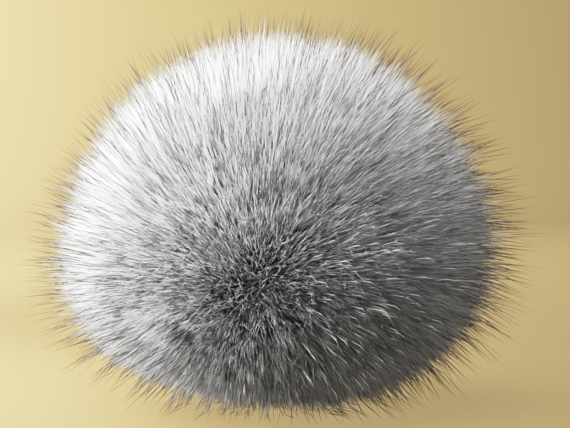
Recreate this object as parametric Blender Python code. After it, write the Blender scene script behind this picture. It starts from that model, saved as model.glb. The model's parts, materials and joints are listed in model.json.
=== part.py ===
"""Fur pom pom: one ball of long fur, 82 mm wide and 67 mm high, that rests on its underside.

The real one is a round piece of pelt, drawn up into a small tight ball with the fur outside. The
hair fans out from that ball and stands in soft locks. Here the drawn-up pelt is a ball, and each of
its 294 cells grows one four-sided lock. A lock is widest near the surface of the fur and then runs
out to a fine tip. The locks stand apart from each other and meet only in the pelt, so the pom pom is
one closed solid. The locks underneath are shorter, and their blunt ends stand level on the surface.

Metres, +Z up, origin at the middle of the underside. Run it with
blender --background --python part.py, or from the text editor.
"""

import math
import random
from collections import namedtuple

import bmesh
import bpy
from mathutils import Euler, Vector

NAME = "fur_pom_pom"

# The fur's outline, over the tips of the locks
FUR_RADIUS = 0.0420  # half the width
FUR_HEIGHT = 0.0670  # from the surface to the top
WIDEST_HEIGHT = 0.0285  # of the level where the ball is widest
DOME_POWER = 2.05  # 2 is an ellipse, and more is squarer
SKIRT_POWER = 2.20
SKIRT_BELOW = 0.0020  # how far under the surface the skirt would close if nothing were there
LEVEL = 1e-6  # a height that counts as on the surface
HALVINGS = 30  # of the interval in which the outline is looked for

# The drawn-up pelt inside, which sits low in the fur
PELT_RADIUS = 0.0130
PELT_CENTRE = Vector((-0.0030, 0.0, 0.0205))

# The locks
CELLS_A_SIDE = 7  # six sides of 7 x 7 cells, one lock each
CELL_JITTER = 0.16  # of a cell's side, by which its corners are moved
CELL_TURN = Euler((0.3, 0.2, 0.4))  # turns the cells' rows away from the axes
SHORTEST = 0.93  # of the way to the outline, for the shortest lock
MOST_LEAN = 0.80  # of half a cell, by which a tip may lean, so that it stays over its own cell
ROOT_INSET = 0.00001  # only parts a lock's root from its cell, and the root is then set to its size
DROOP = 0.0016  # how far the widest hair sinks under its own weight
SEED = 11

# A lean times a cell's share stays under the room that the section leaves in its cell,
# so no two locks can touch
LockSection = namedtuple("LockSection", "share_of_length share_of_cell share_of_lean")
ROOT = LockSection(0.0, 0.80, 0.0)
HANGING_LOCK = (
    LockSection(0.66, 0.88, 0.12),
    LockSection(0.87, 0.52, 0.55),
)
TIP = LockSection(1.0, 0.0, 1.0)
STANDING_LOCK = (
    LockSection(0.60, 0.88, 0.0),
    LockSection(1.0, 0.62, 0.0),
)

FUR_COLOUR = (0.45, 0.45, 0.44, 1.0)
FUR_ROUGHNESS = 0.75


def clear_scene():
    """Removes whatever the startup file brought."""
    for item in list(bpy.data.objects):
        bpy.data.objects.remove(item, do_unlink=True)


def fur_material():
    """Silver-grey fur, dull and not metallic."""
    material = bpy.data.materials.new("silver_grey_fur")
    material.use_nodes = True
    shader = material.node_tree.nodes["Principled BSDF"]
    shader.inputs["Base Color"].default_value = FUR_COLOUR
    shader.inputs["Roughness"].default_value = FUR_ROUGHNESS
    shader.inputs["Metallic"].default_value = 0.0
    return material


def inside_outline(point):
    """Whether a point lies inside the fur's outline: a dome over a squarer skirt, above the surface."""
    sideways = math.hypot(point.x, point.y) / FUR_RADIUS
    above = point.z - WIDEST_HEIGHT
    if above >= 0:
        return sideways**DOME_POWER + (above / (FUR_HEIGHT - WIDEST_HEIGHT)) ** DOME_POWER < 1
    below = -above / (WIDEST_HEIGHT + SKIRT_BELOW)
    return point.z > 0 and sideways**SKIRT_POWER + below**SKIRT_POWER < 1


def reach(direction):
    """Distance from the pelt's centre to the outline along a direction, by halving an interval."""
    near, far = PELT_RADIUS, 2 * FUR_RADIUS
    for _ in range(HALVINGS):
        middle = (near + far) / 2
        if inside_outline(PELT_CENTRE + middle * direction):
            near = middle
        else:
            far = middle
    return near


def stands_on_surface(direction):
    """Whether a lock that grows this way meets the surface before it meets the skirt."""
    return (PELT_CENTRE + reach(direction) * direction).z < LEVEL


def new_cells():
    """The ball of cells, of radius 1: a cube cut into squares, swelled to a ball, with uneven corners."""
    cells = bmesh.new()
    bmesh.ops.create_cube(cells, size=2.0)
    bmesh.ops.subdivide_edges(cells, edges=cells.edges[:], cuts=CELLS_A_SIDE - 1, use_grid_fill=True)
    for corner in cells.verts:
        # The tangent spaces the squares evenly over the ball, where the plain cube crowds its corners
        corner.co = Vector([math.tan(number * math.pi / 4) for number in corner.co]).normalized()
        corner.co.rotate(CELL_TURN)
    chance = random.Random(SEED)
    steps = [CELL_JITTER * min(side.calc_length() for side in corner.link_edges) for corner in cells.verts]
    for corner, step in zip(cells.verts, steps):
        moved = Vector([chance.uniform(-step, step) for _ in range(3)])
        corner.co = (corner.co + moved).normalized()
    return cells


class Lock:
    """One lock of fur: the cell that it fills, how long it is, and which way its tip leans."""

    def __init__(self, cell, chance):
        self.corners = [corner.co.copy() for corner in cell.verts]
        self.middle = sum(self.corners, Vector()).normalized()
        self.standing = stands_on_surface(self.middle)
        heading = Vector([chance.uniform(-1, 1) for _ in range(3)]).cross(self.middle).normalized()
        self.lean = heading * chance.uniform(0, MOST_LEAN) * self.half_width()
        self.length = 1.0 if self.standing else chance.uniform(SHORTEST, 1.0)

    def half_width(self):
        """Distance from the cell's middle to its nearest side."""
        sides = zip(self.corners, self.corners[1:] + self.corners[:1])
        return min(abs(self.middle.dot(start.cross(end).normalized())) for start, end in sides)

    def place(self, way, section):
        """The point of a section in the direction way, where way is a corner or the middle."""
        offset = (way - self.middle) * section.share_of_cell
        direction = (self.middle + offset + self.lean * section.share_of_lean).normalized()
        whole = reach(direction) * self.length
        if self.standing:
            whole = -PELT_CENTRE.z / direction.z
        along = PELT_RADIUS + (whole - PELT_RADIUS) * section.share_of_length
        return PELT_CENTRE + along * direction


def grow(fur, cap, lock):
    """Insets a cell's cap to leave a strip of pelt, then draws the lock out section by section."""
    bmesh.ops.inset_individual(fur, faces=[cap], thickness=ROOT_INSET)
    for corner, way in zip(cap.verts, lock.corners):
        corner.co = lock.place(way, ROOT)
    for section in STANDING_LOCK if lock.standing else HANGING_LOCK:
        cap = bmesh.ops.extrude_discrete_faces(fur, faces=[cap])["faces"][0]
        for corner, way in zip(cap.verts, lock.corners):
            corner.co = lock.place(way, section)
    if lock.standing:
        for corner in cap.verts:
            corner.co.z = 0.0
    else:
        point = bmesh.ops.poke(fur, faces=[cap])["verts"][0]
        point.co = lock.place(lock.middle, TIP)


def let_droop(fur):
    """Sinks the hair at the sides a little, by the square of how far out it is, and not at the surface."""
    for point in fur.verts:
        outward = math.hypot(point.co.x, point.co.y) / FUR_RADIUS
        clear = min(1.0, point.co.z / WIDEST_HEIGHT)
        point.co.z -= DROOP * outward**2 * clear**2


def centre_over_origin(fur):
    """Moves the ball sideways so that its box is centred over the origin."""
    for axis in range(2):
        places = [point.co[axis] for point in fur.verts]
        middle = (min(places) + max(places)) / 2
        for point in fur.verts:
            point.co[axis] -= middle


def fur_ball():
    """The pelt with all its locks, as one closed mesh."""
    fur = new_cells()
    chance = random.Random(SEED + 1)
    locks = [(cell, Lock(cell, chance)) for cell in fur.faces]
    for corner in fur.verts:
        corner.co = PELT_CENTRE + corner.co * PELT_RADIUS
    for cell, lock in locks:
        grow(fur, cell, lock)
    let_droop(fur)
    centre_over_origin(fur)
    mesh = bpy.data.meshes.new(NAME)
    fur.to_mesh(mesh)
    fur.free()
    return mesh


def main():
    clear_scene()
    collection = bpy.data.collections.new("pom_pom")
    bpy.context.scene.collection.children.link(collection)
    pom_pom = bpy.data.objects.new(NAME, fur_ball())
    pom_pom.data.materials.append(fur_material())
    collection.objects.link(pom_pom)


main()
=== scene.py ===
# %% [markdown]
# A silver fur pom pom
#
# The real one is a round piece of fox pelt, drawn up into a small ball with the fur outside. All that
# the eye meets is hair. Dense wool fills the ball and ends near one soft outline, pale guard hairs lie
# among its tips, and dark-tipped ones stand out furthest and ring it with a sparse fringe. This lesson
# grows them as closed, tapered little tubes, worked out for a whole coat at once with numpy.
#
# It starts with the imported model, whose box gives every size below.

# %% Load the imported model
import json
import math
from collections import namedtuple

import bpy
import numpy as np
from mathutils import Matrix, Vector

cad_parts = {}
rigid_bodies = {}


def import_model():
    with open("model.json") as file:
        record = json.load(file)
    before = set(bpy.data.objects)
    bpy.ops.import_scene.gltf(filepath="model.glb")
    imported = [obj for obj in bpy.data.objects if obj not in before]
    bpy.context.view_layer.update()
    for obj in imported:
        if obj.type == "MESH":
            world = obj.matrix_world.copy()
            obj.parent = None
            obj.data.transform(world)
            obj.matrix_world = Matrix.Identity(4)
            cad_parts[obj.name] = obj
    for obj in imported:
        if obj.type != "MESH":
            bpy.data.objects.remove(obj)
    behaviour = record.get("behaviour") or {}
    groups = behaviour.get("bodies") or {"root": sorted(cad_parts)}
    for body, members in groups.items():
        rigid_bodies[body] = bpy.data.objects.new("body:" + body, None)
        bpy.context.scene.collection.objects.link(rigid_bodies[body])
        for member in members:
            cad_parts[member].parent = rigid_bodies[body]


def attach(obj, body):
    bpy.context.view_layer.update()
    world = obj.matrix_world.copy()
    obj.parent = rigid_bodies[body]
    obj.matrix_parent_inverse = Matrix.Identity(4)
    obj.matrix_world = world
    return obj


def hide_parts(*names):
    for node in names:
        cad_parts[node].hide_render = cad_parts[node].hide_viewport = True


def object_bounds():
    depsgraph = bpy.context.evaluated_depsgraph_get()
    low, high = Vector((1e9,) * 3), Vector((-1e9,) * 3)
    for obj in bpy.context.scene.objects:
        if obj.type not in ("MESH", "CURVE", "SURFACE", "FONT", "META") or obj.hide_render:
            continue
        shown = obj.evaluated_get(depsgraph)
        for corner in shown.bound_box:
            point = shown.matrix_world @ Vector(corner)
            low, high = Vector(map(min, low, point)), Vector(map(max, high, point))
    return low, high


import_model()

cad_low, cad_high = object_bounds()
MM = 0.001
SEED = 7
print("solids' box in mm:", [round(side / MM, 1) for side in cad_high - cad_low])

# %% [markdown]
# The camera comes first, because the likeness is judged through it. The photograph looks at the ball from
# straight in front, so that the hair that points at the lens makes a dark whorl below the middle. A pixel
# of it is 0.17 mm wide at the ball. A long lens from 0.3 m keeps the ball's outline as flat as there.

# %% Camera
PHOTO_WIDTH, PHOTO_HEIGHT = 570, 428
PIXEL = 0.17 * MM  # at the ball's middle
MIDDLE_COLUMN = 279  # where the photograph has the ball's middle
FLOOR_ROW = 409  # and the foot of its fur
SENSOR = 36.0
LENS = 112.0
LOOKS_DOWN = math.radians(2.0)


def point_at(thing, target):
    """Turns a camera or a light so that its -Z axis runs to the target."""
    thing.rotation_euler = (Vector(target) - thing.location).to_track_quat("-Z", "Y").to_euler()


def add_camera():
    """A camera whose frame is the photograph's: its distance is lens / sensor times the frame's width."""
    data = bpy.data.cameras.new("photo_camera")
    data.sensor_width = SENSOR
    data.lens = LENS
    camera = bpy.data.objects.new("photo_camera", data)
    bpy.context.scene.collection.objects.link(camera)
    target = Vector(((PHOTO_WIDTH / 2 - MIDDLE_COLUMN) * PIXEL, 0, (FLOOR_ROW - PHOTO_HEIGHT / 2) * PIXEL))
    distance = LENS / SENSOR * PHOTO_WIDTH * PIXEL
    camera.location = target + distance * Vector((0, -math.cos(LOOKS_DOWN), math.sin(LOOKS_DOWN)))
    point_at(camera, target)
    bpy.context.scene.camera = camera
    return distance


print("camera at", round(add_camera() / MM), "mm")

# %% [markdown]
# Two small helpers serve all materials. One turns a colour given as an sRGB hex value to the linear numbers
# that Blender mixes. The other adds a node, with its settings and its links in one line.

# %% Colours and nodes


def linear(hex_colour):
    """Linear RGBA of an sRGB hex value: c / 12.92 near black, and ((c + 0.055) / 1.055) ** 2.4 above."""
    channels = [int(hex_colour[i : i + 2], 16) / 255 for i in (1, 3, 5)]
    return (*[c / 12.92 if c <= 0.04045 else ((c + 0.055) / 1.055) ** 2.4 for c in channels], 1.0)


def add(tree, kind, sockets, **settings):
    """Adds a node to a tree. A socket gets a link where its value is another node's output."""
    node = tree.nodes.new(kind)
    for name, value in settings.items():
        setattr(node, name, value)
    for name, value in sockets.items():
        if isinstance(value, bpy.types.NodeSocket):
            tree.links.new(value, node.inputs[name])
        else:
            node.inputs[name].default_value = value
    return node


def new_material(name):
    """A material with an empty Principled shader, and that shader."""
    material = bpy.data.materials.new(name)
    material.use_nodes = True
    return material, material.node_tree, material.node_tree.nodes["Principled BSDF"]


print("sRGB grey #808080 is linear", round(linear("#808080")[0], 3))

# %% [markdown]
# The ball stands on a plain sheet of straw-coloured card that runs up behind it in one wide curve, so
# that no line shows where floor and wall meet. Fur and card go into a collection each, because in the next
# cell each gets lamps of its own.

# %% The card
CARD_HALF_WIDTH = 1.2
CARD_FRONT, CURVE_START = -0.9, 0.80
CURVE_RADIUS = 0.40
CARD_TOP = 1.5
CURVE_STEPS = 24
FIBRES_A_METRE = 900.0


def new_collection(name):
    """A collection of the scene."""
    collection = bpy.data.collections.new(name)
    bpy.context.scene.collection.children.link(collection)
    return collection


STUDIO = new_collection("studio")
FUR = new_collection("fur")


def card_material():
    """Matt card in a pale straw colour, with fibres about 1 mm across that are barely lighter."""
    material, tree, shader = new_material("matt_straw_card")
    place = add(tree, "ShaderNodeTexCoord", {})
    fibres = add(tree, "ShaderNodeTexNoise", {"Vector": place.outputs["Object"], "Scale": FIBRES_A_METRE})
    tone = add(tree, "ShaderNodeValToRGB", {"Fac": fibres.outputs["Fac"]})
    tone.color_ramp.elements[0].color = linear("#D2B67D")
    tone.color_ramp.elements[1].color = linear("#D5BA83")
    tree.links.new(tone.outputs["Color"], shader.inputs["Base Color"])
    shader.inputs["Roughness"].default_value = 0.9
    shader.inputs["Specular IOR Level"].default_value = 0.1
    return material


def add_card():
    """The card: a profile of floor, quarter circle and wall, carried sideways."""
    turn = np.linspace(0, math.pi / 2, CURVE_STEPS)
    along = np.r_[CARD_FRONT, CURVE_START + CURVE_RADIUS * np.sin(turn), CURVE_START + CURVE_RADIUS]
    height = np.r_[0, CURVE_RADIUS * (1 - np.cos(turn)), CARD_TOP]
    left = np.c_[np.full_like(along, -CARD_HALF_WIDTH), along, height]
    points = np.r_[left, left * (-1, 1, 1)]
    first = np.arange(len(along) - 1)
    faces = np.c_[first, first + len(along), first + len(along) + 1, first + 1]
    mesh = bpy.data.meshes.new("straw_card")
    mesh.from_pydata(points.tolist(), [], faces.tolist())
    mesh.shade_smooth()
    mesh.materials.append(card_material())
    card = bpy.data.objects.new("straw_card", mesh)
    STUDIO.objects.link(card)
    return card


card = add_card()
card.visible_diffuse = False  # its yellow light doesn't reach the fur, which is neutral in the photograph
print("the card is", CURVE_START + CURVE_RADIUS, "m deep behind the ball")

# %% [markdown]
# The photograph's fur is white at the upper left, where a window must be, and falls to dark grey at the
# lower right. Three broad lamps near the ball do that: two for the window and one for the sky over it. A
# weak one at the right stands for the room. These light the fur alone. The card has lamps of its own, so
# its brightness can fall from left to right as the wall's does. Three of them stand at its left, from near
# to far, and throw no shadow of the ball. The one high over the ball throws the faint shadow at its foot.
# A weak glow from all round keeps the shaded side readable. It is warmer and stronger from below, as light
# from the card would be. Bright tones are bent down as a camera does.

# %% Lamps, glow and tones
BALL_MIDDLE = (cad_low + cad_high) / 2
BALL_FOOT = Vector((0, 0, 0))
FAR_CARD = Vector((-0.1, 0.9, 0.1))
LIGHTEST = 3.0  # the light that is shown as plain white
GLOW_BLENDS_AT = 0.35  # the rise of a way over which the glow has its colour from above
TONES = [(0.3, 0.3), (0.5, 0.48), (0.7, 0.62), (0.9, 0.71), (1.2, 0.80), (1.6, 0.88), (2.2, 0.95)]


def add_lamp(name, lights, towards, distance, size, watts, aim=BALL_MIDDLE, shaded_by=None):
    """A square lamp for one collection, in a direction from the ball's middle, that looks where it aims."""
    data = bpy.data.lights.new(name, "AREA")
    data.size = size
    data.energy = watts
    lamp = bpy.data.objects.new(name, data)
    bpy.context.scene.collection.objects.link(lamp)
    lamp.location = BALL_MIDDLE + distance * Vector(towards).normalized()
    lamp.light_linking.receiver_collection = lights
    lamp.light_linking.blocker_collection = shaded_by
    lamp.visible_camera = False
    point_at(lamp, aim)


def add_glow(from_below, from_above, strength):
    """Faint light from every side, whose colour runs from below to a little above the horizon."""
    world = bpy.data.worlds.new("studio_glow")
    world.use_nodes = True
    tree = world.node_tree
    way = add(tree, "ShaderNodeTexCoord", {})
    height = add(tree, "ShaderNodeSeparateXYZ", {"Vector": way.outputs["Generated"]})
    tone = add(tree, "ShaderNodeValToRGB", {"Fac": height.outputs["Z"]})
    tone.color_ramp.elements[0].color = linear(from_below)
    tone.color_ramp.elements[1].color = linear(from_above)
    tone.color_ramp.elements[1].position = GLOW_BLENDS_AT
    background = tree.nodes["Background"]
    tree.links.new(tone.outputs["Color"], background.inputs["Color"])
    background.inputs["Strength"].default_value = strength
    bpy.context.scene.world = world


def soften_highlights(pairs):
    """Bends the brightest tones down as a camera does, by pairs of light and of the tone that it gives."""
    view = bpy.context.scene.view_settings
    view.view_transform = "Standard"
    view.use_curve_mapping = True
    view.curve_mapping.white_level = (LIGHTEST, LIGHTEST, LIGHTEST)
    for light, shown in pairs:
        view.curve_mapping.curves[3].points.new(light / LIGHTEST, shown)
    view.curve_mapping.update()


add_lamp("window", FUR, towards=(-0.80, -0.41, 0.46), distance=0.55, size=0.50, watts=11.4)
add_lamp("window_foot", FUR, towards=(-0.91, -0.36, 0.11), distance=0.55, size=0.30, watts=6.4)
add_lamp("skylight", FUR, towards=(-0.20, -0.08, 0.97), distance=0.55, size=0.50, watts=13.4)
add_lamp("room", FUR, towards=(0.80, -0.55, 0.05), distance=0.35, size=0.12, watts=0.20)
add_lamp(
    "card_near",
    STUDIO,
    towards=(-0.90, 0.10, 0.30),
    distance=0.20,
    size=0.16,
    watts=1.0,
    aim=BALL_FOOT,
    shaded_by=STUDIO,
)
add_lamp(
    "card_middle",
    STUDIO,
    towards=(-0.75, 0.60, 0.45),
    distance=0.50,
    size=0.40,
    watts=4.2,
    aim=FAR_CARD,
    shaded_by=STUDIO,
)
add_lamp(
    "card_far",
    STUDIO,
    towards=(-0.50, 0.80, 0.30),
    distance=1.10,
    size=0.40,
    watts=6.0,
    aim=FAR_CARD,
    shaded_by=STUDIO,
)
add_lamp("overhead", STUDIO, towards=(-0.25, -0.35, 0.90), distance=0.90, size=0.90, watts=2.6)
add_glow("#F6EBD8", "#ACADAE", strength=0.245)
soften_highlights(TONES)

# %% [markdown]
# Every hair ends near one smooth outline, so the outline comes before the hair. It is a dome over a
# slightly squarer skirt. Both are nearly half ellipses, meet at the widest level and are turned round the
# upright axis. The hair fans out from the drawn-up pelt, which sits low and a little to the left in the
# ball. So what the hair needs is its distance to the outline along a way from the pelt's middle.

# %% The fur's outline
TIPS_HALF_WIDTH = (cad_high.x - cad_low.x) / 2  # over the tips of the solids' locks
DENSE_HALF_WIDTH = 0.912 * TIPS_HALF_WIDTH  # where the wool ends and only guard hairs go on
DENSE_TOP = 0.970 * cad_high.z
WIDEST_LEVEL = 0.40 * cad_high.z
DENSE_FOOT = 0.4 * MM
DOME_POWER = 1.97
SKIRT_POWER = 2.10
PELT_MIDDLE = np.array([-5.4 * MM, 0.0, 17.8 * MM])
HALVINGS = 24


def unit(vectors):
    """The same vectors with length 1."""
    return vectors / np.linalg.norm(vectors, axis=-1, keepdims=True)


def outline_terms(points):
    """Share of the half width and of the half height at each point, with the half height and the power."""
    rise = points[:, 2] - WIDEST_LEVEL
    upper = rise >= 0
    half_height = np.where(upper, DENSE_TOP - WIDEST_LEVEL, WIDEST_LEVEL - DENSE_FOOT)
    power = np.where(upper, DOME_POWER, SKIRT_POWER)
    sideways = np.hypot(points[:, 0], points[:, 1]) / DENSE_HALF_WIDTH
    return sideways, rise / half_height, half_height, power


def reach(ways):
    """Distance from the pelt's middle to the outline along each way.

    A point is inside while sideways ** power + height ** power < 1. That can't be turned round for the
    distance, so an interval that holds it is halved, for all ways at once.
    """
    near, far = np.zeros(len(ways)), np.full(len(ways), 2 * DENSE_HALF_WIDTH)
    for _ in range(HALVINGS):
        middle = (near + far) / 2
        sideways, height, _, power = outline_terms(PELT_MIDDLE + middle[:, None] * ways)
        inside = sideways**power + np.abs(height) ** power < 1
        near, far = np.where(inside, middle, near), np.where(inside, far, middle)
    return near


def outwards(points):
    """Unit normal of the outline through each point: the slope of sideways ** power + height ** power."""
    sideways, height, half_height, power = outline_terms(points)
    level = sideways ** (power - 1) / DENSE_HALF_WIDTH
    upright = np.sign(height) * np.abs(height) ** (power - 1) / half_height
    flat = points[:, :2] / (sideways * DENSE_HALF_WIDTH)[:, None]
    return unit(np.c_[flat * level[:, None], upright])


print("reach up, right and down in mm:", (reach(np.array([[0, 0, 1.0], [1, 0, 0], [0, 0, -1]])) / MM).round(1))

# %% [markdown]
# Real hair is never combed evenly. Whole patches lean one way, small tufts lean together within them, and
# each hair strays a little. The patches need a field of leans that changes smoothly over the ball. A sum
# of a few sine waves with random headings is the shortest such field.

# %% Patches that lean together
WAVES = 14  # sine waves in the sum
GOLDEN_TURN = math.pi * (3 - math.sqrt(5))  # from one point of a golden spiral to the next
WAYS_TRIED = 3  # for each one that is kept
WAY_STRAY = 0.9  # over the root of the ways' number, which is a quarter of their spacing


def wave_field(ways, waves_across, seed, columns=3):
    """A smooth random vector for each way: the sum of sines of (way . heading + phase), of size about 1."""
    chance = np.random.default_rng(seed)
    headings = chance.normal(0, waves_across, (3, WAVES))
    phases = chance.uniform(0, 2 * math.pi, WAVES)
    mixture = chance.normal(0, 1, (WAVES, columns)) / math.sqrt(WAVES / 2)
    return np.sin(ways @ headings + phases) @ mixture


def evenly_spread(count, chance):
    """Ways that are spread so that the hair stands equally dense on the outline.

    They start on a golden spiral over the ball, which has no clusters, and each is moved by about a
    third of a spacing. The outline is further off upwards than downwards, so a way is kept with a chance that
    grows with the square of its reach.
    """
    index = np.arange(WAYS_TRIED * count)
    height = 1 - 2 * (index + 0.5) / len(index)
    turn = index * GOLDEN_TURN
    ways = np.c_[np.sqrt(1 - height**2) * np.cos(turn), np.sqrt(1 - height**2) * np.sin(turn), height]
    ways = unit(ways + chance.normal(0, WAY_STRAY / math.sqrt(len(index)), ways.shape))
    share = reach(ways) ** 2
    kept = np.flatnonzero(chance.random(len(ways)) < share / share.max())
    return ways[np.sort(chance.permutation(kept)[:count])]


print("tufts kept of 1000 asked:", len(evenly_spread(1000, np.random.default_rng(SEED))))

# %% [markdown]
# A hair starts inside the ball, and its tip is near the outline. It grows away from the pelt, turns a
# little towards the outline's normal, and leans as its patch and its tuft do. On the right it also sags,
# because the photograph's hair lies lower there than on the left. The guard hairs start straight out and
# bend at an elbow halfway. The underside rests on the floor: a hair that would pass through it is bent
# flat there and splays outwards, as it does under the real ball's weight, so nothing is cut off.

# %% How a hair grows
Coat = namedtuple(
    "Coat",
    "tufts hairs_a_tuft tuft_spread gather root shortest longest patch_lean tuft_lean stray width rings",
)
TURN_TO_NORMAL = 0.25  # how far a hair turns from the straight way towards the outline's normal
SAG = 0.22  # slope by which a hair that points to the right hangs lower
FLOOR_SOFTNESS = 0.5 * MM
FLOOR_SPLAY = 0.7  # sideways, for each step that the floor lifts a hair
SPLAY_FADES = 5 * MM  # round the upright axis, where no side is outwards
LONG_ARE_FEW = 1.8  # a power of 1 makes all lengths as frequent, and a higher one makes long hairs few
UNEVEN = 0.015  # by which a tuft differs from its neighbours in length
LUMPS = 0.008  # by which a patch does
FRINGE_DROP = 0.6  # makes what stands out of the wool longer at the sides than on top
FRINGE_EVEN = 0.3  # the rise of a way for which FRINGE_DROP does nothing
FRINGE_LEFT = 0.5  # makes it longer on the left, where the pelt lies nearer to the outline
LEAN_WAVES, LUMP_WAVES = 5.0, 6.0
ELBOW = 0.5  # of a hair's length


def rest_on_floor(points):
    """Bends points up to the floor: height becomes s log(1 + e ** (height / s)), and they splay outwards."""
    height = points[..., 2]
    lifted = FLOOR_SOFTNESS * np.logaddexp(0, height / FLOOR_SOFTNESS)
    splay = FLOOR_SPLAY * (lifted - height)[..., None]
    flat = points[..., :2]
    heading = flat / (np.linalg.norm(flat, axis=-1, keepdims=True) + SPLAY_FADES)
    return np.concatenate([flat + splay * heading, lifted[..., None]], axis=-1)


def straight_hairs(coat, ways, share, tuft_lean):
    """Root and tip of hairs that grow along ways, sag on the right, and lean with patch and tuft."""
    whole = reach(ways)[:, None]
    root = PELT_MIDDLE + ways * whole * coat.root
    normal = outwards(root)
    patch = wave_field(ways, LEAN_WAVES, SEED) * coat.patch_lean
    sag = np.maximum(ways[:, :1], 0) * (0, 0, -SAG)
    heading = unit(ways + TURN_TO_NORMAL * (normal - ways) + sag + patch + tuft_lean)
    return root, root + heading * whole * (share - coat.root)


def grow(coat, chance):
    """Root, elbow and tip of every hair of a coat.

    The hairs of a tuft start round its middle, and their tips are drawn towards the tuft's own tip by
    the share gather, so that the tuft runs out to a point.
    """
    tufts = evenly_spread(coat.tufts, chance)
    own = np.repeat(np.arange(len(tufts)), coat.hairs_a_tuft)
    ways = unit(tufts[own] + chance.normal(0, coat.tuft_spread, (len(own), 3)))
    share = coat.shortest + (coat.longest - coat.shortest) * chance.random((len(own), 1)) ** LONG_ARE_FEW
    longer = FRINGE_DROP * (FRINGE_EVEN - ways[:, 2:]) + FRINGE_LEFT * np.maximum(-ways[:, :1], 0)
    share = share + np.maximum(share - 1, 0) * longer
    share = share * (1 + UNEVEN * chance.normal(0, 1, (len(tufts), 1)))[own]
    share = share * (1 + LUMPS * wave_field(ways, LUMP_WAVES, SEED + 2, columns=1))
    lean = chance.normal(0, coat.tuft_lean, (len(tufts), 3))[own]
    root, tip = straight_hairs(coat, ways, share, lean + chance.normal(0, coat.stray, (len(own), 3)))
    _, tuft_tip = straight_hairs(coat, tufts[own], share, lean)
    tip = tip + coat.gather * chance.random((len(own), 1)) * (tuft_tip - tip)
    elbow = root + ELBOW * np.linalg.norm(tip - root, axis=1, keepdims=True) * ways
    return ways, root, elbow, tip


print("the floor lifts a tip from -3 mm to", (rest_on_floor(np.array([[0.02, 0, -3 * MM]]))[0] / MM).round(2))

# %% [markdown]
# A coat is one mesh of many little tubes. A tube has three sides, one ring or two, a point at its tip and
# a small lid at its root, so it is closed. The wool has one ring, which makes it straight, and the guard
# hairs have a second for their bend. The faces are the same for every hair, so they are written once as a
# pattern and repeated for all hairs as whole arrays. On the UV map, a hair is a narrow upright strip: how
# far across it stands is the hair's own shade, and how far up is how far along the hair. A finish then
# needs nothing but that map.

# %% Many hairs as one mesh
SIDES = 3
STRIP_WIDTH = 0.006  # half of it, on the UV map
TAPER = 0.35  # under 1, so that a hair keeps its width for long and then runs out quickly
LID_RISE = 0.01  # of one corner of the lid, on the UV map, where it would have no area
LEAST_HEIGHT = 0.01 * MM  # keeps the hair clear of the floor


def hair_pattern(rings):
    """Corners of one hair's faces, with each corner's place across the strip and along the hair."""
    tip = SIDES * rings
    faces = [[2, 1, 0]]
    for ring in range(rings - 1):
        for side in range(SIDES):
            low, high = ring * SIDES, (ring + 1) * SIDES
            after = (side + 1) % SIDES
            faces.append([low + side, low + after, high + after, high + side])
    last = SIDES * (rings - 1)
    faces += [[last + side, last + (side + 1) % SIDES, tip] for side in range(SIDES)]
    corners = np.array([corner for face in faces for corner in face])
    across = np.where(corners == tip, 0, corners % SIDES - 1) * STRIP_WIDTH
    along = np.where(corners == tip, 1.0, corners // SIDES / rings)
    along[:SIDES] = [0.0, LID_RISE, 0.0]
    return corners, across, along, [len(face) for face in faces]


def hair_points(root, elbow, tip, width, rings, chance):
    """Points of all hairs, one row of them for each hair.

    A hair's middle line is (1 - t) ** 2 root + 2 t (1 - t) elbow + t ** 2 tip. Each ring stands across it,
    with a radius that falls as (1 - t) ** TAPER.
    """
    steps = (np.arange(rings + 1) / rings)[:, None]
    line = (1 - steps) ** 2 * root[:, None] + 2 * steps * (1 - steps) * elbow[:, None] + steps**2 * tip[:, None]
    line = rest_on_floor(line)
    axis = unit(line[:, -1] - line[:, 0])
    first = unit(np.cross(axis, chance.normal(0, 1, axis.shape)))
    second = np.cross(axis, first)
    turns = np.arange(SIDES) * 2 * math.pi / SIDES
    round_it = np.cos(turns)[:, None] * first[:, None] + np.sin(turns)[:, None] * second[:, None]
    radius = width[:, None] / 2 * (1 - steps[:-1, 0]) ** TAPER
    tubes = line[:, :-1, None] + radius[:, :, None, None] * round_it[:, None]
    tubes[..., 2] = np.maximum(tubes[..., 2], LEAST_HEIGHT)
    return np.concatenate([tubes.reshape(len(root), -1, 3), line[:, -1:]], axis=1)


def mesh_of_hairs(name, points, shade, rings):
    """Puts the tubes into a mesh object, with the strip map of shade and place along the hair."""
    corners, across, along, sizes = hair_pattern(rings)
    count, per_hair = points.shape[:2]
    mesh = bpy.data.meshes.new(name)
    mesh.vertices.add(count * per_hair)
    mesh.vertices.foreach_set("co", points.ravel())
    vertex = (corners + per_hair * np.arange(count)[:, None]).ravel()
    mesh.loops.add(len(vertex))
    mesh.loops.foreach_set("vertex_index", vertex)
    mesh.polygons.add(count * len(sizes))
    starts = np.cumsum([0, *sizes[:-1]]) + len(corners) * np.arange(count)[:, None]
    mesh.polygons.foreach_set("loop_start", starts.ravel())
    strip = mesh.uv_layers.new(name="OFBake")
    places = np.stack([shade[:, None] + across, np.broadcast_to(along, (count, len(along)))], axis=-1)
    strip.uv.foreach_set("vector", places.astype(np.float32).ravel())
    mesh.update(calc_edges=True)
    mesh.shade_smooth()
    piece = bpy.data.objects.new(name, mesh)
    FUR.objects.link(piece)
    return piece


print("triangles a hair, with 1 and 2 rings:", [sum(n - 2 for n in hair_pattern(k)[3]) for k in (1, 2)])

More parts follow.
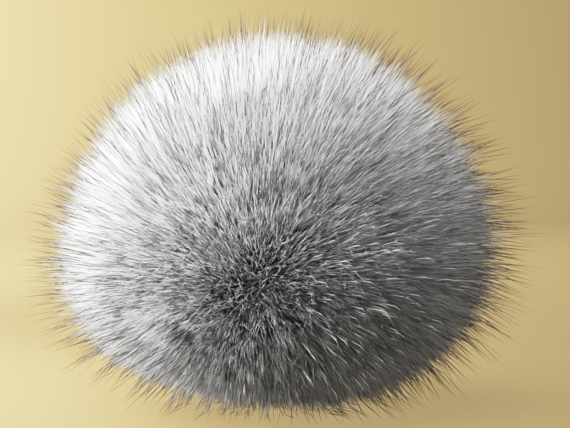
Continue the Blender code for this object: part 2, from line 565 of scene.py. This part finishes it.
# %% [markdown]
# The finish of the hair is fox fur: fine smooth keratin, dull as a whole because it points every way. The
# wool is dark grey near the skin and silver outside, and the wool that lies deep is darker. A pale guard
# hair is almost white. A dark-tipped one is grey for the first half and then turns brown-black. The colour
# runs along the hair by the map's upright axis, and the hair's own shade makes it lighter or darker.

# %% Hair finishes
HAIR_SHEEN = 0.25  # of the reflection that a smooth surface has at 0.5


def hair_material(name, stops, roughness, darkest, lightest):
    """Fur hair: colours at places along it, times a brightness that runs from darkest to lightest."""
    material, tree, shader = new_material(name)
    strip = add(tree, "ShaderNodeUVMap", {}, uv_map="OFBake")
    place = add(tree, "ShaderNodeSeparateXYZ", {"Vector": strip.outputs["UV"]})
    colour = add(tree, "ShaderNodeValToRGB", {"Fac": place.outputs["Y"]})
    ramp = colour.color_ramp.elements
    while len(ramp) < len(stops):
        ramp.new(0.5)
    for element, (along, shade) in zip(ramp, stops):
        element.position = along
        element.color = linear(shade)
    bright = add(
        tree,
        "ShaderNodeMapRange",
        {"Value": place.outputs["X"], "To Min": darkest, "To Max": lightest},
    )
    tint = add(
        tree,
        "ShaderNodeVectorMath",
        {0: colour.outputs["Color"], "Scale": bright.outputs["Result"]},
        operation="SCALE",
    )
    tree.links.new(tint.outputs["Vector"], shader.inputs["Base Color"])
    shader.inputs["Roughness"].default_value = roughness
    shader.inputs["Specular IOR Level"].default_value = HAIR_SHEEN
    return material


UNDERWOOL = hair_material(
    "fox_underwool",
    [(0.0, "#464648"), (0.50, "#78787A"), (1.0, "#ACACAD")],
    roughness=0.75,
    darkest=0.35,
    lightest=1.40,
)
WOOL = hair_material(
    "fox_wool",
    [(0.0, "#505054"), (0.45, "#A0A0A2"), (1.0, "#D8D8D7")],
    roughness=0.65,
    darkest=0.28,
    lightest=1.44,
)
PALE_GUARD = hair_material(
    "pale_guard_hair",
    [(0.0, "#949494"), (0.45, "#DADAD9"), (1.0, "#E8E8E6")],
    roughness=0.35,
    darkest=0.80,
    lightest=1.08,
)
DARK_GUARD = hair_material(
    "dark_tipped_guard_hair",
    [(0.0, "#A0A0A0"), (0.48, "#A8A6A4"), (0.60, "#393431"), (1.0, "#14110F")],
    roughness=0.40,
    darkest=0.70,
    lightest=1.10,
)
print("four hair finishes")

# %% [markdown]
# Under the hair lies a closed body of packed wool, just inside the outline. It stops the eye between the
# hairs, as hundreds of thousands of finer ones do on the pelt. It is a surface of two angles round the
# pelt's middle, with the patches of the coat as low bumps.

# %% Packed wool body
BODY_SHARE = 0.80  # of the reach
BODY_BUMP = 0.03
BODY_WAVES = 9.0
BODY_ROUND, BODY_UP = 160, 80
TUFTS_A_METRE = 1600.0
TUFT_DEPTH = 0.2 * MM


def packed_wool_material():
    """Packed underfur: dull grey of its own, in tufts about 0.6 mm across, with painted shade that darkens the
    hollows between them.
    """
    material, tree, shader = new_material("packed_fox_wool")
    place = add(tree, "ShaderNodeTexCoord", {})
    tufts_and_painted_shade = add(
        tree,
        "ShaderNodeTexNoise",
        {"Vector": place.outputs["Object"], "Scale": TUFTS_A_METRE, "Detail": 3.0},
    )
    # Dark where the noise is low, which is where the bump sinks: painted shade between the tufts, over the
    # wool's own grey.
    tone = add(tree, "ShaderNodeValToRGB", {"Fac": tufts_and_painted_shade.outputs["Fac"]})
    tone.color_ramp.elements[0].position = 0.35
    tone.color_ramp.elements[0].color = linear("#4A4A4C")
    tone.color_ramp.elements[1].position = 0.70
    tone.color_ramp.elements[1].color = linear("#8A8A8C")
    bump = add(
        tree,
        "ShaderNodeBump",
        {"Height": tufts_and_painted_shade.outputs["Fac"], "Distance": TUFT_DEPTH, "Strength": 0.8},
    )
    tree.links.new(tone.outputs["Color"], shader.inputs["Base Color"])
    tree.links.new(bump.outputs["Normal"], shader.inputs["Normal"])
    shader.inputs["Roughness"].default_value = 0.95
    return material


def packed_wool_body():
    """A closed surface at a share of the reach in every way, with one point at each pole."""
    turn = np.arange(BODY_ROUND) * 2 * math.pi / BODY_ROUND
    tilt = np.arange(1, BODY_UP) * math.pi / BODY_UP
    tilt, turn = (grid.ravel() for grid in np.meshgrid(tilt, turn, indexing="ij"))
    ways = np.c_[np.sin(tilt) * np.cos(turn), np.sin(tilt) * np.sin(turn), np.cos(tilt)]
    ways = np.r_[ways, [[0, 0, 1], [0, 0, -1]]]
    bump = 1 + BODY_BUMP * wave_field(ways, BODY_WAVES, SEED + 1, columns=1)
    points = rest_on_floor(PELT_MIDDLE + ways * reach(ways)[:, None] * BODY_SHARE * bump)
    column = np.arange(BODY_ROUND)
    after = (column + 1) % BODY_ROUND
    row = np.arange(BODY_UP - 2)[:, None] * BODY_ROUND
    quads = np.stack([row + column, row + column + BODY_ROUND, row + after + BODY_ROUND, row + after], axis=-1)
    top, bottom = len(points) - 2, len(points) - 1
    last = (BODY_UP - 2) * BODY_ROUND
    upper = np.c_[np.full(BODY_ROUND, top), column, after]
    lower = np.c_[np.full(BODY_ROUND, bottom), last + after, last + column]
    mesh = bpy.data.meshes.new("packed_wool_body")
    mesh.from_pydata(points.tolist(), [], quads.reshape(-1, 4).tolist() + upper.tolist() + lower.tolist())
    mesh.shade_smooth()
    mesh.materials.append(packed_wool_material())
    piece = bpy.data.objects.new("packed_wool_body", mesh)
    FUR.objects.link(piece)
    return piece


def hand_over(piece):
    """The piece moves with the ball and stands for the solid, which is hidden."""
    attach(piece, "root")
    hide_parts("fur_pom_pom")


body = packed_wool_body()
hand_over(body)
print("packed wool body:", len(body.data.polygons), "faces")

# %% [markdown]
# Now the coats, from the skin outwards, in one table with a row for each. The inner wool is coarse and
# closes the gaps, and the outer wool is the fine one that shows. The pale guard hairs stray most, so they
# cross each other in the whorl. Roots, lengths and spreads are shares of the way from the pelt's middle
# to the outline, so a spread of 0.03 is about 1 mm. Leans and strays are sideways steps for each step
# outwards. A piece stays under 200,000 triangles, so the larger coats come in several pieces, each a
# slice of the ball.

# %% The coats
COATS = {
    "inner_wool": Coat(5000, 6, 0.030, 0.4, 0.72, 0.84, 0.94, 0.05, 0.06, 0.06, 0.34 * MM, 1),
    "outer_wool": Coat(15000, 8, 0.020, 0.28, 0.76, 0.86, 1.01, 0.05, 0.05, 0.05, 0.17 * MM, 1),
    "pale_guard": Coat(10000, 2, 0.020, 0.2, 0.80, 0.90, 1.00, 0.06, 0.12, 0.16, 0.10 * MM, 2),
    "dark_guard": Coat(5200, 2, 0.018, 0.4, 0.86, 0.96, 1.17, 0.05, 0.06, 0.05, 0.165 * MM, 2),
}
FINISHES = {"inner_wool": UNDERWOOL, "outer_wool": WOOL, "pale_guard": PALE_GUARD, "dark_guard": DARK_GUARD}
SLICES = {"inner_wool": 1, "outer_wool": 4, "pale_guard": 2, "dark_guard": 1}
WIDTHS = (0.75, 1.25)  # of the coat's width
SHADE_SPREAD = 0.26  # of the hairs' own shades, which run from 0 to 1
SHADE_OF_PATCH = 0.08  # by which whole patches differ in shade
SHADE_WAVES = 6.0
SHADE_EDGE = 0.02  # kept free at both ends of the map, for the strips' own width


def add_coat(name, seed):
    """Grows a coat and makes its pieces, one for each slice round the ball.

    A hair's shade is 0.5, plus a share of its patch's wave, plus a share of its own random number.
    """
    coat, chance = COATS[name], np.random.default_rng(seed)
    ways, root, elbow, tip = grow(coat, chance)
    width = coat.width * chance.uniform(*WIDTHS, len(ways))
    patch = wave_field(ways, SHADE_WAVES, seed + 50, columns=1)[:, 0]
    shade = 0.5 + SHADE_OF_PATCH * patch + SHADE_SPREAD * chance.normal(0, 1, len(ways))
    shade = np.clip(shade, SHADE_EDGE, 1 - SHADE_EDGE)
    points = hair_points(root, elbow, tip, width, coat.rings, chance)
    turn = np.arctan2(ways[:, 1], ways[:, 0]) / (2 * math.pi) % 1
    for number in range(SLICES[name]):
        mine = np.floor(turn * SLICES[name]) == number
        piece = mesh_of_hairs(f"{name}_{number + 1}", points[mine], shade[mine], coat.rings)
        piece.data.materials.append(FINISHES[name])
        hand_over(piece)
        triangles = sum(len(face.vertices) - 2 for face in piece.data.polygons)
        print(piece.name, int(mine.sum()), "hairs,", triangles, "triangles")


for number, name in enumerate(COATS):
    add_coat(name, SEED + 10 * number)
